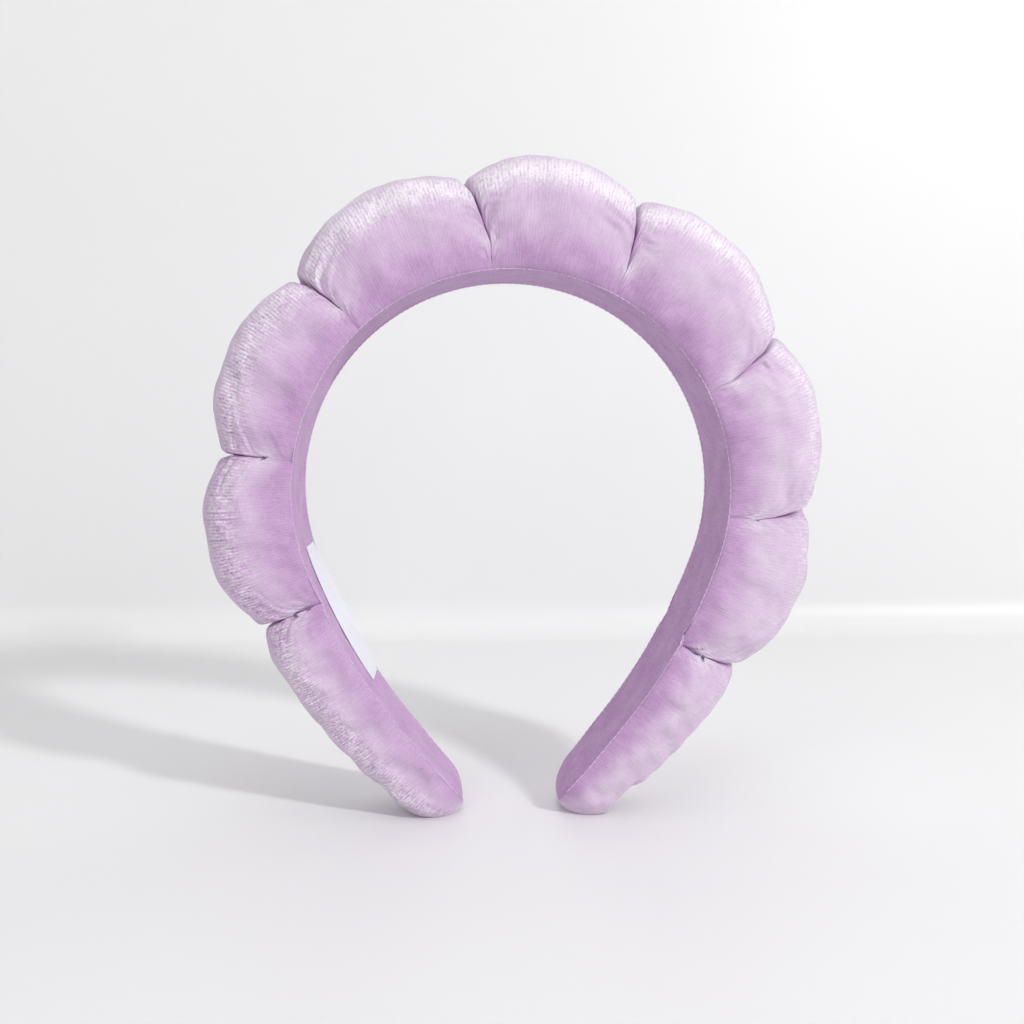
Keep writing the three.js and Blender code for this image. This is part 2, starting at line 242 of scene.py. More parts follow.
def tail_sections(start):
    """Sections of a tail from its crease to its tip."""
    run, rise = lip_samples()
    side = np.sign(start)
    length = band_end + tip_reach - abs(start)
    straight_count = int((length - tip_run - lip_run) / fine)
    straight = np.linspace(lip_run, length - tip_run, straight_count)
    almost_all = 0.998      # of a quarter turn, so that the last section keeps a little size
    into = np.sin(np.linspace(0, math.pi / 2, 26)[1:] * almost_all)
    r = np.r_[lip_run * run, straight, length - tip_run + tip_run * into]
    rise = np.r_[rise, np.ones(len(r) - len(rise))]

    def ends(near, far):
        return extent(near, far) if side > 0 else extent(-far, -near)

    root = ends(abs(start) + 12 * mm, abs(start) + 20 * mm)
    tip = ends(band_end - 12 * mm, band_end - 8 * mm)
    share = np.clip((r - 14 * mm) / (length - 30 * mm), -0.4, 1.3)[:, None]
    dip = np.clip(1 - r / tail_dip_run, 0, 1)[:, None] ** 2 * tail_dip
    body = lerp(root, tip, share) - dip - tail_cut
    base = lerp(base_half, tip[0] - 1.5 * mm, np.clip(r / length, 0, 1))
    base = np.minimum(base, body[:, 0] - seam_inset)
    squeeze = np.sqrt(1 - np.clip((r - (length - tip_run)) / tip_run, 0, 1) ** 2)
    middle = lerp(cover_base, body[:, 1], tip_level)
    low = middle + (cover_base - middle) * squeeze
    high = middle + (body[:, 1] - middle) * squeeze
    return np.c_[side * (abs(start) + r), body[:, 0] * squeeze, base * squeeze, low, high, rise]


def band_sections():
    """Sections of the cover from the left tip to the right one, and the rows at its creases."""
    parts = [tail_sections(pinches[0])[::-1]]
    creases = [len(parts[0]) - 1]
    for start, end in zip(pinches, pinches[1:]):
        parts.append(puff_sections(start, end)[1:])
        creases.append(creases[-1] + len(parts[-1]))
    parts.append(tail_sections(pinches[-1])[1:])
    return np.concatenate(parts), creases


sections, creases = band_sections()
section_s, section_half, section_base_half, section_base, section_top, _ = sections.T
lining_end = band_end + tip_reach - 1.5 * mm


def base_at(s):
    """Half width and height of the cover's flat base at distances along the band."""
    return np.interp(s, section_s, section_base_half), np.interp(s, section_s, section_base)


def droop_at(s):
    """How far the sewn edges hang at distances along the band, going to nothing at the tips."""
    return seam_droop * smooth((band_end - np.abs(s)) / (22 * mm))


hem_half = 7 * mm               # from the middle to each turned-under hem
hem_points, corner_points, crown_points = 5, 14, 110
shoulder_level = 0.42           # of its height where a section is deepest
roundness = 2 / 2.35            # 1 is an ellipse, less is squarer
drawn_least = 0.04              # how much a crease is drawn in by the lining
drawn_from = 3 * mm             # height over which it comes to be drawn in fully
drawn_over = 6.5 * mm


def outline(s, half, half_base, base, top):
    """Rings of y and h, one per section: front hem, side, crown, side, back hem."""
    hem_opens = np.clip((lining_end - np.abs(s)) / (3 * mm), 0, 1)
    hem = np.minimum(hem_half * hem_opens, half_base)
    shoulder = base + (top - base) * shoulder_level
    inward = np.linspace(0, 1, hem_points, endpoint=False)[None]
    turn = np.linspace(0, math.pi / 2, corner_points, endpoint=False)[None]
    cosine = np.cos(np.linspace(0, math.pi, crown_points))[None]
    sine = np.sqrt(1 - cosine**2)
    droop = droop_at(s)
    hem_y, hem_h = lerp(hem, half_base, inward), base - droop * inward**2
    corner_y = half_base + (half - half_base) * np.sin(turn)
    corner_h = base - droop + (shoulder - base + droop) * (1 - np.cos(turn))
    crown_y = -half * np.sign(cosine) * np.abs(cosine) ** roundness
    crown_h = shoulder + (top - shoulder) * sine**roundness
    y = np.concatenate([-hem_y, -corner_y, crown_y, corner_y[:, ::-1], hem_y[:, ::-1]], 1)
    h = np.concatenate([hem_h, corner_h, crown_h, corner_h[:, ::-1], hem_h[:, ::-1]], 1)
    return y, h


def gathered_outlines():
    """The rings, drawn in at each crease except along the sewn edge by the lining."""
    s, *sizes, rise = (sections[:, [column]] for column in range(6))
    y, h = outline(s, *sizes)
    neck_y, neck_h = outline(s, *(size * np.ones_like(s) for size in neck_sizes))
    drawn = (1 - rise) * lerp(drawn_least, 1, smooth((h - drawn_from) / drawn_over))
    return lerp(y, neck_y, drawn), lerp(h, neck_h, drawn), drawn


# ---- small helpers -----------------------------------------------------------------


def steps_between(points, axis):
    """Distance travelled along one axis of a grid of points."""
    step = np.linalg.norm(np.diff(points, axis=axis), axis=2)
    pad = np.zeros_like(np.take(step, [0], axis))
    return np.concatenate([pad, np.cumsum(step, axis)], axis)


def wave_noise(u, v, scale_u, scale_v, seed, count=9):
    """Smooth noise from -1 to 1 out of a few sine waves, with wavelengths near the scales."""
    draw = np.random.default_rng(seed)
    total = np.zeros(np.broadcast(u, v).shape)
    for _ in range(count):
        angle, phase = draw.uniform(0, 2 * math.pi, 2)
        stretch = draw.uniform(0.7, 1.5)
        run = u * math.cos(angle) / scale_u + v * math.sin(angle) / scale_v
        total += np.sin(2 * math.pi * run * stretch + phase)
    return total / math.sqrt(count)


def grid_normals(points):
    """Unit normals of a grid of points, pointing out where its rings run up the front."""
    normal = np.cross(np.gradient(points, axis=0), np.gradient(points, axis=1))
    return normal / np.maximum(np.linalg.norm(normal, axis=2, keepdims=True), 1e-12)


def place(name, data):
    """New object in the scene for a mesh, light or camera."""
    item = bpy.data.objects.new(name, data)
    bpy.context.scene.collection.objects.link(item)
    return item


def grid_mesh(name, points, looks=None, closed=False, caps=(False, False), normals=None):
    """Mesh through a grid of points (rows along the band), with a float attribute per look."""
    rows, columns = points.shape[:2]
    index = np.arange(rows * columns).reshape(rows, columns)
    ring = np.c_[index, index[:, :1]] if closed else index
    corners = [ring[:-1, :-1], ring[1:, :-1], ring[1:, 1:], ring[:-1, 1:]]
    faces = np.stack(corners, -1).reshape(-1, 4).tolist()
    if caps[0]:
        faces.append(index[0].tolist())
    if caps[1]:
        faces.append(index[-1][::-1].tolist())
    mesh = bpy.data.meshes.new(name)
    mesh.from_pydata(points.reshape(-1, 3).tolist(), [], faces)
    for key, value in (looks or {}).items():
        layer = mesh.attributes.new(key, "FLOAT", "POINT")
        values = np.broadcast_to(value, (rows, columns)).astype(np.float32)
        layer.data.foreach_set("value", values.ravel())
    mesh.shade_smooth()
    if normals is not None:
        mesh.normals_split_custom_set_from_vertices(normals.reshape(-1, 3).tolist())
    return place(name, mesh)


def dress(piece, material):
    """Gives a piece its material and slot."""
    piece.data.materials.clear()
    piece.data.materials.append(material)


# ---- lengths of the band, each across one hinge ------------------------------------

blend_reach = 9 * mm            # each side of a hinge


def hinge_s(joint):
    """Distance along the band of a joint's hinge."""
    return float(to_band(joint["pos_m"][0], joint["pos_m"][2])[0])


hinges = sorted(frame["joints"], key=hinge_s)
mid_puffs = [(hinge_s(a) + hinge_s(b)) / 2 for a, b in zip(hinges, hinges[1:])]
cuts = [-band_end, *mid_puffs, band_end]


class Length:
    """A stretch of the band from one puff's middle to the next, which bends at its hinge."""

    def __init__(self, joint, start, end):
        self.joint, self.start, self.end = joint, start, end
        self.name = joint["child"]

    def bend(self, piece):
        """Bakes a piece's placement into its mesh. The step along the band past the hinge is
        worked out but not used.
        """
        s = hinge_s(self.joint)
        ahead = np.array([*along(s + 0.1 * mm, 0.0)]) - np.array([*along(s, 0.0)])
        ahead *= (1 if s > 0 else -1) * blend_reach / np.linalg.norm(ahead)
        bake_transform(piece)

    def stands_for(self, kind):
        """CAD nodes of this kind that a piece of this length replaces."""
        found = [f"{kind}_{self.name}"]
        if self.name == "left_upper":
            found.append(f"{kind}_crown")
        return found


lengths = [Length(j, a, b) for j, a, b in zip(hinges, cuts, cuts[1:])]

# ---- materials ---------------------------------------------------------------------


class Nodes:
    """Short calls for building a material's nodes."""

    def __init__(self, name):
        self.material = bpy.data.materials.new(name)
        self.material.use_nodes = True
        self.tree = self.material.node_tree
        self.shader = self.tree.nodes["Principled BSDF"]

    def add(self, kind, inputs=None, **settings):
        """New node. Each input is a value or another node's socket."""
        node = self.tree.nodes.new("ShaderNode" + kind)
        for key, value in settings.items():
            setattr(node, key, value)
        for key, value in (inputs or {}).items():
            self.put(node, key, value)
        return node

    def put(self, node, key, value):
        if isinstance(value, bpy.types.NodeSocket):
            self.tree.links.new(value, node.inputs[key])
        else:
            node.inputs[key].default_value = value

    def set(self, **values):
        """Sets inputs of the shader, _ for the spaces in their names."""
        for key, value in values.items():
            self.put(self.shader, key.replace("_", " "), value)

    def attribute(self, name):
        return self.add("Attribute", attribute_name=name).outputs["Fac"]

    def maths(self, operation, a, b=0.0, c=0.0, clamp=False):
        node = self.add("Math", {0: a, 1: b, 2: c}, operation=operation, use_clamp=clamp)
        return node.outputs[0]

    def vector(self, x, y, z=0.0):
        return self.add("CombineXYZ", {0: x, 1: y, 2: z}).outputs[0]

    def noise(self, vector, scale, detail=3.0, roughness=0.55):
        inputs = {"Vector": vector, "Scale": scale, "Detail": detail, "Roughness": roughness}
        return self.add("TexNoise", inputs).outputs["Fac"]

    def wave(self, vector, scale, direction, distortion, detail=2.0, detail_scale=1.0):
        inputs = {"Vector": vector, "Scale": scale, "Distortion": distortion, "Detail": detail}
        inputs["Detail Scale"] = detail_scale
        return self.add("TexWave", inputs, bands_direction=direction).outputs["Fac"]

    def ramp(self, value, stops):
        node = self.add("ValToRGB", {"Fac": value})
        elements = node.color_ramp.elements
        while len(elements) < len(stops):
            elements.new(0.5)
        for element, (position, colour) in zip(elements, stops):
            element.position = position
            element.color = rgb(*colour)
        return node.outputs["Color"]

    def mix(self, fac, a, b, blend_type="MIX"):
        node = self.add("Mix", data_type="RGBA", blend_type=blend_type)
        self.put(node, 0, fac)
        self.put(node, 6, a)
        self.put(node, 7, b)
        return node.outputs[2]

    def bump(self, height, strength, distance, normal=None):
        inputs = {"Height": height, "Strength": strength, "Distance": distance}
        if normal is not None:
            inputs["Normal"] = normal
        return self.add("Bump", inputs).outputs["Normal"]


def rgb(*values):
    return (*values, 1.0)


def velvet(name, sheen, course_depth):
    """Stretch velvet. Its attributes place the weave and carry painted light: a tone with painted
    sheen and shade, painted glints in the grain, and painted shade on the crests and in the
    creases.
    """
    n = Nodes(name)
    s = n.maths("MULTIPLY", n.attribute("along"), 1 / mm)
    a = n.maths("MULTIPLY", n.attribute("around"), 1 / mm)
    plane = n.vector(s, a)
    grain_and_painted_glint = n.attribute("grain_and_painted_glint")
    streaks = n.noise(n.vector(s, n.maths("MULTIPLY", a, 0.16)), 1.5, 3.0, 0.7)
    grain = n.noise(n.vector(s, n.maths("MULTIPLY", a, 0.6)), 2.0, 2.0, 0.7)
    courses = n.wave(plane, 0.42, "X", 1.6, detail_scale=0.5)
    patches = n.noise(plane, 0.12, 2.0, 0.5)
    wale = n.wave(plane, 0.48, "Y", 1.6, detail_scale=0.5)
    # Painted light: the tone holds a painted sheen band over the puffs' outer edges and painted
    # shade low on their faces.
    tone = n.attribute("tone_and_painted_light")
    # The streaks and grain are the velvet's own; their contrast grows with the painted sheen band
    # and highlights, which adds painted glints there.
    for layer, amount in ((streaks, 1.1), (grain, 0.9), (courses, 0.16)):
        amount = n.maths("MULTIPLY", grain_and_painted_glint, amount)
        tone = n.maths("MULTIPLY_ADD", n.maths("SUBTRACT", layer, 0.5), amount, tone)
    for layer, amount in ((patches, 0.3), (wale, 0.06)):
        tone = n.maths("MULTIPLY_ADD", n.maths("SUBTRACT", layer, 0.5), amount, tone)
    # Painted shade in and beside the creases.
    tone = n.maths("MULTIPLY_ADD", n.attribute("painted_crease_shade"), -0.3, tone, clamp=True)
    # Painted shade: the crests are greyed where they turn away from the light.
    painted_crest_shade = n.maths("MULTIPLY", n.attribute("crest"), 0.6)
    colour = n.mix(painted_crest_shade, n.ramp(tone, velvet_tints_painted_shade_to_highlight), rgb(0.55, 0.47, 0.58))
    n.set(Base_Color=colour, Roughness=0.8, Specular_IOR_Level=0.15)
    n.set(Sheen_Weight=sheen, Sheen_Roughness=0.4, Sheen_Tint=rgb(0.97, 0.93, 0.99))
    pile = n.bump(grain, 0.4, 0.2 * mm)
    pile = n.bump(streaks, 0.35, 0.3 * mm, pile)
    pile = n.bump(wale, 0.12, 0.1 * mm, pile)
    pile = n.bump(courses, course_depth, 0.15 * mm, pile)
    n.set(Normal=n.bump(patches, 0.3, 0.8 * mm, pile))
    return n.material


def thread_material(name, dark, light):
    """Twisted thread with strands of two tones."""
    n = Nodes(name)
    coordinates = n.add("TexCoord").outputs["Object"]
    strands = n.wave(coordinates, 900.0, "DIAGONAL", 2.0)
    n.set(Base_Color=n.ramp(strands, [(0.1, dark), (0.8, light)]), Roughness=0.55)
    n.set(Sheen_Weight=0.3, Normal=n.bump(strands, 0.6, 0.08 * mm))
    return n.material


def satin_material():
    """Woven satin: long shiny warp floats with a fine weft across them."""
    n = Nodes("label_satin")
    s = n.maths("MULTIPLY", n.attribute("along"), 1 / mm)
    a = n.maths("MULTIPLY", n.attribute("around"), 1 / mm)
    plane = n.vector(s, a)
    warp = n.wave(plane, 1.6, "Y", 0.3)
    weft = n.wave(plane, 1.1, "X", 0.3)
    weave = n.maths("ADD", n.maths("MULTIPLY", warp, 0.7), n.maths("MULTIPLY", weft, 0.3))
    uneven = n.maths("MULTIPLY", weave, n.noise(plane, 0.5, 2.0))
    colour = n.ramp(uneven, [(0.1, (0.82, 0.85, 0.92)), (0.6, (0.95, 0.97, 1.0))])
    n.set(Base_Color=colour, Roughness=0.34, Anisotropic=0.5, Specular_IOR_Level=0.6)
    n.set(Sheen_Weight=0.2, Normal=n.bump(weave, 0.25, 0.06 * mm))
    return n.material


def sponge_material():
    """Cream sponge with open cells, each painted darker in its middle as shade."""
    n = Nodes("sponge")
    coordinates = n.add("TexCoord").outputs["Object"]
    cells = n.add("TexVoronoi", {"Vector": coordinates, "Scale": 1400.0}).outputs["Distance"]
    tint = n.noise(coordinates, 60.0, 3.0)
    colour = n.mix(tint, rgb(0.9, 0.84, 0.7), rgb(0.96, 0.93, 0.85))
    # Painted shade in the open cells.
    pore_shade = n.ramp(cells, [(0.1, (0.55, 0.55, 0.55)), (0.5, (1, 1, 1))])
    n.set(Base_Color=n.mix(0.7, colour, pore_shade, "MULTIPLY"), Roughness=0.95)
    n.set(Normal=n.bump(cells, 0.7, 0.3 * mm))
    return n.material


def plastic_material():
    """Milky moulded plastic, faintly grained."""
    n = Nodes("hoop_plastic")
    coordinates = n.add("TexCoord").outputs["Object"]
    grain = n.noise(coordinates, 900.0, 3.0)
    flow = n.noise(coordinates, 40.0, 2.0)
    n.set(Base_Color=n.mix(flow, rgb(0.84, 0.83, 0.81), rgb(0.9, 0.89, 0.87)))
    n.set(Roughness=n.maths("MULTIPLY_ADD", grain, 0.15, 0.32))
    n.set(Normal=n.bump(grain, 0.15, 0.05 * mm))
    return n.material


# Tints from deep painted shade through the velvet's own lilac to pale painted sheen.
velvet_tints_painted_shade_to_highlight = [
    (0.0, (0.30, 0.145, 0.335)),
    (0.25, (0.455, 0.262, 0.488)),
    (0.5, (0.597, 0.423, 0.625)),
    (0.75, (0.70, 0.575, 0.72)),
    (1.0, (0.87, 0.80, 0.885)),
]
cover_look = velvet("cover_velvet", 0.4, 0.12)
lining_look = velvet("lining_velvet", 0.12, 0.3)
seam_look = thread_material("seam_thread", (0.60, 0.43, 0.63), (0.76, 0.63, 0.79))
cinch_look = thread_material("cinch_thread", (0.10, 0.04, 0.15), (0.26, 0.14, 0.34))
stitch_look = thread_material("label_stitch", (0.70, 0.72, 0.78), (0.95, 0.96, 1.0))
satin_look = satin_material()
sponge_look = sponge_material()
plastic_look = plastic_material()

# ---- the velvet cover --------------------------------------------------------------

sim_pitch = 2.6 * mm            # between the coarse copy's rows
sim_columns = 46
sim_frames = 16
sim_pressure = 3.0
sim_cap = 1.6 * mm              # most that the simulated cloth may move
swell_removed = 0.75            # share of its broad swelling that is taken back out
gather_stretch = 0.14           # gathers are this much finer across than along the band
gather_size = 0.8 * mm
gather_reach = 4.5 * mm         # from a crease to where they have mostly died out


def crumple(path, ring_run, near, drawn):
    """How far the cloth stands out or in: soft lumps, and gathers that run into the creases."""
    s_mm, a_mm = path / mm, ring_run / mm
    broad = 0.32 * mm * wave_noise(s_mm, a_mm, 24, 30, seed=3)
    lumps = broad + 0.12 * mm * wave_noise(s_mm, a_mm, 9, 8, seed=5)
    drift = 1.2 * wave_noise(s_mm, a_mm * 0, 14, 14, seed=7)
    stretched, across = s_mm * gather_stretch, a_mm + drift
    gathers = 0.55 * wave_noise(stretched, across, 3.4, 3.4, seed=11)
    gathers = gathers + 0.4 * wave_noise(stretched, across, 1.9, 1.9, seed=13)
    fade = smooth(near / (2.2 * mm)) * np.exp(-near / gather_reach)
    return lumps * smooth(near / (4 * mm)) + gather_size * gathers * fade * (1 - drawn)


def spread_matrix(picked, count):
    """Weights that spread values at the picked rows over all rows, straight in between."""
    matrix = np.zeros((count, len(picked)))
    for column in range(len(picked)):
        matrix[:, column] = np.interp(np.arange(count), picked, np.eye(len(picked))[column])
    return matrix


def soften(field, passes, axis):
    """A grid of values averaged with its neighbours along one axis, several times over."""
    for _ in range(passes):
        before = np.concatenate([np.take(field, [0], axis), np.delete(field, -1, axis)], axis)
        after = np.concatenate([np.delete(field, 0, axis), np.take(field, [-1], axis)], axis)
        field = (before + 2 * field + after) / 4
    return field


def spaced_rows(path, pitch, always):
    """Rows about a pitch apart along the path, and always those named."""
    rows = [0]
    for row in range(1, len(path)):
        if row in always or path[row] - path[rows[-1]] >= pitch:
            rows.append(row)
    if rows[-1] != len(path) - 1:
        rows.append(len(path) - 1)
    return np.array(rows)


def stuff_cloth(sheet, pinned):
    """Makes a mesh behave as cloth that is blown up from inside and pinned at some points."""
    sheet.vertex_groups.new(name="held").add(pinned.tolist(), 1.0, "REPLACE")
    modifier = sheet.modifiers.new("cloth", "CLOTH")
    setting = modifier.settings
    setting.quality, setting.mass, setting.air_damping = 6, 0.25, 3.0
    setting.tension_stiffness = setting.compression_stiffness = 12
    setting.shear_stiffness, setting.bending_stiffness = 4, 0.05
    setting.vertex_group_mass = "held"
    setting.use_pressure, setting.uniform_pressure_force = True, sim_pressure
    setting.shrink_min = -0.03
    setting.effector_weights.gravity = 0
    modifier.collision_settings.use_collision = False
    modifier.point_cache.frame_end = sim_frames


def settled(sheet):
    """Corners of a simulated mesh at the simulation's end."""
    scene = bpy.context.scene
    for frame_number in range(1, sim_frames + 1):
        scene.frame_set(frame_number)
    done = sheet.evaluated_get(bpy.context.evaluated_depsgraph_get())
    corners = np.empty(len(sheet.data.vertices) * 3)
    done.data.vertices.foreach_get("co", corners)
    scene.frame_set(1)
    return corners


def cloth_relief(points, path, held, creases):
    """How the stuffed cloth settles between its creases and hems, simulated on a coarse copy."""
    rows = spaced_rows(path, sim_pitch, set(creases))
    columns = np.unique(np.linspace(0, points.shape[1] - 1, sim_columns).astype(int))
    coarse = points[np.ix_(rows, columns)]
    sheet = grid_mesh("cover_sim", coarse)
    stuff_cloth(sheet, np.nonzero(held[np.ix_(rows, columns)].ravel())[0])
    moved = settled(sheet).reshape(coarse.shape) - coarse
    bpy.data.objects.remove(sheet)
    moved = moved - swell_removed * soften(soften(moved, 6, 0), 6, 1)
    size = np.linalg.norm(moved, axis=2, keepdims=True)
    moved *= sim_cap / np.maximum(size, sim_cap)
    by_rows = np.einsum("ij,jkc->ikc", spread_matrix(rows, points.shape[0]), moved)
    full = np.einsum("ikc,lk->ilc", by_rows, spread_matrix(columns, points.shape[1]))
    return soften(soften(full, 3, 0), 3, 1)


def painted_sheen_and_shade(s, share, near, h):
    """Painted light on the cover: its tone, with a painted sheen band over each puff's outer rim,
    painted shade low on the faces and painted highlights where the creases end; and how strongly
    its grain shows, most in the sheen band.
    """
    across = smooth((s / band_end + 1) / 2)
    # The painted sheen band lies lower on the left puffs and at the very edge on the right ones,
    # where the light from the right catches it.
    band_at = lerp(0.72, 0.95, across)
    band_width = lerp(0.22, 0.11, across)
    rim = np.exp(-(((share - band_at) / band_width) ** 2))
    # The painted sheen is strongest on the crown.
    top = np.exp(-((s / (75 * mm)) ** 2))
    # Painted shade: each face is darker towards its sewn edge and lighter upwards, lighter still
    # on the right and on the left tail.
    face = 0.36 + (0.22 + 0.11 * smooth(2 * across - 0.8)) * smooth((share - 0.04) / 0.42)
    face = face + 0.09 * smooth((pinches[0] - s) / (15 * mm))
    # Painted highlights at the inner ends of the creases.
    from_dimple = (near / (3.5 * mm)) ** 2 + ((h - 4 * mm) / (3.5 * mm)) ** 2
    dimple_highlight = 0.25 * np.exp(-from_dimple)
    # Tone: the velvet's own lilac, with painted shade on the faces and a painted sheen band along
    # the rims.
    tone_and_painted_light = face + rim * (0.02 + 0.32 * top + 0.08 * across) + dimple_highlight
    # The grain shows most in the painted sheen band and at the painted highlights: painted glints.
    grain_and_painted_glint = 0.28 + rim * lerp(1.3, 0.5, across) + dimple_highlight
    return tone_and_painted_light, grain_and_painted_glint


def cover_looks(s, h, share, near, drawn):
    """Painted light and shade on the velvet at each point, and the strength of its grain, for its
    material.
    """
    tone_and_painted_light, grain_and_painted_glint = painted_sheen_and_shade(s, share, near, h)
    # Painted shade in and beside the creases, and where the cloth is drawn in.
    crease_shade = 0.5 * np.exp(-near / (1.2 * mm)) * smooth((h - 3 * mm) / (4 * mm))
    return {
        "tone_and_painted_light": tone_and_painted_light,
        "grain_and_painted_glint": grain_and_painted_glint,
        # Painted shade: how much the crests are greyed.
        "crest": smooth((share - 0.8) / 0.2),
        "painted_crease_shade": np.clip(drawn + crease_shade, 0, 1),
    }


def with_inside(points, near, looks):
    """The grid with the cloth's inner face joined on, on every third column, and its normals."""
    normals = grid_normals(points)
    half_height = (section_top - section_base)[:, None] / 2
    room = np.minimum(cloth, 0.4 * np.minimum(section_half[:, None], half_height))
    room = room * lerp(0.15, 1, smooth(near / (3 * mm)))
    inside = slice(None, None, -3)
    inner = (points - normals * room[:, :, None])[:, inside]
    points = np.concatenate([points, inner], 1)
    normals = np.concatenate([normals, -normals[:, inside]], 1)
    looks = {key: np.concatenate([value, value[:, inside]], 1) for key, value in looks.items()}
    return points, normals, looks


def make_cover():
    """The whole cover as one closed grid of points, with its normals and its looks."""
    s, top = section_s[:, None], section_top[:, None]
    y, h, drawn = gathered_outlines()
    slanted = s + slant(s, y, h)
    x, z = along(slanted, h)
    points = np.stack([x, y, z], 2)
    ring_run = steps_between(points, 1)
    ring_run = ring_run - ring_run[:, ring_run.shape[1] // 2][:, None]
    path = steps_between(points, 0)[:, points.shape[1] // 2]
    near = np.abs(s - np.array(pinches)[None]).min(1)[:, None] + 0 * y
    from_tip = band_end + tip_reach - np.abs(s)
    loose = smooth((h - cover_base) / (4 * mm)) * smooth(from_tip / (10 * mm))
    push = crumple(path[:, None] + 0 * y, ring_run, near, drawn) * loose
    points = points + grid_normals(points) * push[:, :, None]
    held = (loose < 0.6) | (drawn > 0.35)
    points = points + cloth_relief(points, path, held, creases) * loose[:, :, None]
    just_clear = 0.02 * mm
    points[:, :, 2] = np.maximum(points[:, :, 2], just_clear)
    share = np.clip((h - cover_base) / (top - cover_base), 0, 1)
    looks = {"along": slanted, "around": ring_run, **cover_looks(s, h, share, near, drawn)}
    return section_s, *with_inside(points, near, looks)


def rows_of(s, length):
    """Rows of a grid that belong to a length: both ends shared with its neighbours."""
    first = 0 if length is lengths[0] else int(np.argmin(np.abs(s - length.start)))
    last = len(s) - 1 if length is lengths[-1] else int(np.argmin(np.abs(s - length.end)))
    return slice(first, last + 1)


def cut_looks(looks, rows):
    """The looks of some rows of a grid."""
    return {key: value[rows] for key, value in looks.items()}


def cover_pieces():
    """The cover, in lengths that meet in the middle of their puffs."""
    s, points, normals, looks = make_cover()
    for length in lengths:
        rows = rows_of(s, length)
        name = f"velvet_cover_{length.name}"
        tips = (length is lengths[0], length is lengths[-1])
        piece = grid_mesh(name, points[rows], cut_looks(looks, rows), True, tips, normals[rows])
        dress(piece, cover_look)
        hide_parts(*length.stands_for("cover"))
        length.bend(piece)


cover_pieces()

# ---- strips that lie under the cover: lining and hoop ------------------------------


def strip_grid(s, half, low, high, rounding, seam=None, side_count=14, edge_count=7):
    """Flat strip swept along the band. Its edges are round, or curve to the height of a seam."""
    sizes = (half, low, high, rounding)
    half, low, high, rounding = (np.broadcast_to(size, s.shape)[:, None] for size in sizes)
    across = np.linspace(1, -1, side_count)[None]
    turn = np.linspace(0, 1, edge_count + 2)[1:-1][None]
    flat = half - rounding
    edge_y = flat + rounding * np.sin(turn * math.pi)
    middle = (low + high) / 2 if seam is None else seam[:, None]
    side = np.where(turn < 0.5, low, high)
    edge_h = middle + (side - middle) * np.abs(np.cos(turn * math.pi))
    y = np.concatenate([flat * across, -edge_y, -flat * across, edge_y[:, ::-1]], 1)
    level = np.ones_like(across)
    h = np.concatenate([low * level, edge_h, high * level, edge_h[:, ::-1]], 1)
    x, z = along(s[:, None], h)
    return np.stack([x, y, z], 2), y


def tail_taper(s, wide, narrow):
    """Width that narrows along each tail."""
    left = (pinches[0] - s) / (pinches[0] + band_end)
    right = (s - pinches[-1]) / (band_end - pinches[-1])
    return lerp(wide, narrow, np.clip(np.where(s < 0, left, right), 0, 1))


def lining_grid(s, half):
    """Points of the lining, sewn flush to the cover's edges, and their y before its lumps."""
    base = base_at(s)[1]
    flush = smooth((lining_end + 2 * mm - np.abs(s)) / (8 * mm))
    low = base + (lining_face - cover_base) * flush
    rounding = np.minimum(2.5 * mm, 0.45 * half)
    seam = base - droop_at(s)
    points, y = strip_grid(s, half, low, base + 0.1 * mm, rounding, seam, edge_count=9)
    lumps = 0.06 * mm * wave_noise(s[:, None] / mm, y / mm, 11, 9, seed=21)
    return points + grid_normals(points) * lumps[:, :, None], y


def lining_looks(s, y):
    """What the lining's material reads. Its tone is darker towards the right: painted shade on the
    right arm, which faces away from the light.
    """
    level = 0 * y
    return {
        "along": s[:, None] + level,
        "around": y,
        # Painted shade: darker towards the right.
        "tone_and_painted_light": lerp(0.42, 0.33, smooth((s[:, None] / band_end + 1) / 2)) + level,
        "grain_and_painted_glint": 0.3 + level,
        "crest": level,
        "painted_crease_shade": level,
    }


def lining_pieces():
    """The lining, stretched along the band and cut as the cover is."""
    pitch = 0.8 * mm
    s = np.linspace(-lining_end, lining_end, int(2 * lining_end / pitch))
    half = base_at(s)[0] + 0.05 * mm
    points, y = lining_grid(s, half)
    looks = lining_looks(s, y)
    normals = grid_normals(np.concatenate([points[:, -1:], points, points[:, :1]], 1))[:, 1:-1]
    for length in lengths:
        rows = rows_of(s, length)
        name = f"velvet_lining_{length.name}"
        own_looks = cut_looks(looks, rows)
        piece = grid_mesh(name, points[rows], own_looks, True, (True, True), normals[rows])
        dress(piece, lining_look)
        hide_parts(*length.stands_for("lining"))
        length.bend(piece)


def hoop_pieces():
    """The springy plastic hoop inside."""
    s = np.linspace(-hoop_end, hoop_end, 260)
    half = tail_taper(s, hoop_half, narrow=7.5 * mm)
    points = strip_grid(s, half, -hoop_top, hoop_top, 0.5 * mm)[0]
    for length in lengths:
        rows = rows_of(s, length)
        piece = grid_mesh(f"spring_hoop_{length.name}", points[rows], None, True, (True, True))
        dress(piece, plastic_look)
        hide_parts(*length.stands_for("hoop"))
        length.bend(piece)


lining_pieces()
hoop_pieces()

# ---- thread ------------------------------------------------------------------------

never_ahead = (0.13, 1.0, 0.07)     # no thread runs this way, so each ring can be set by it


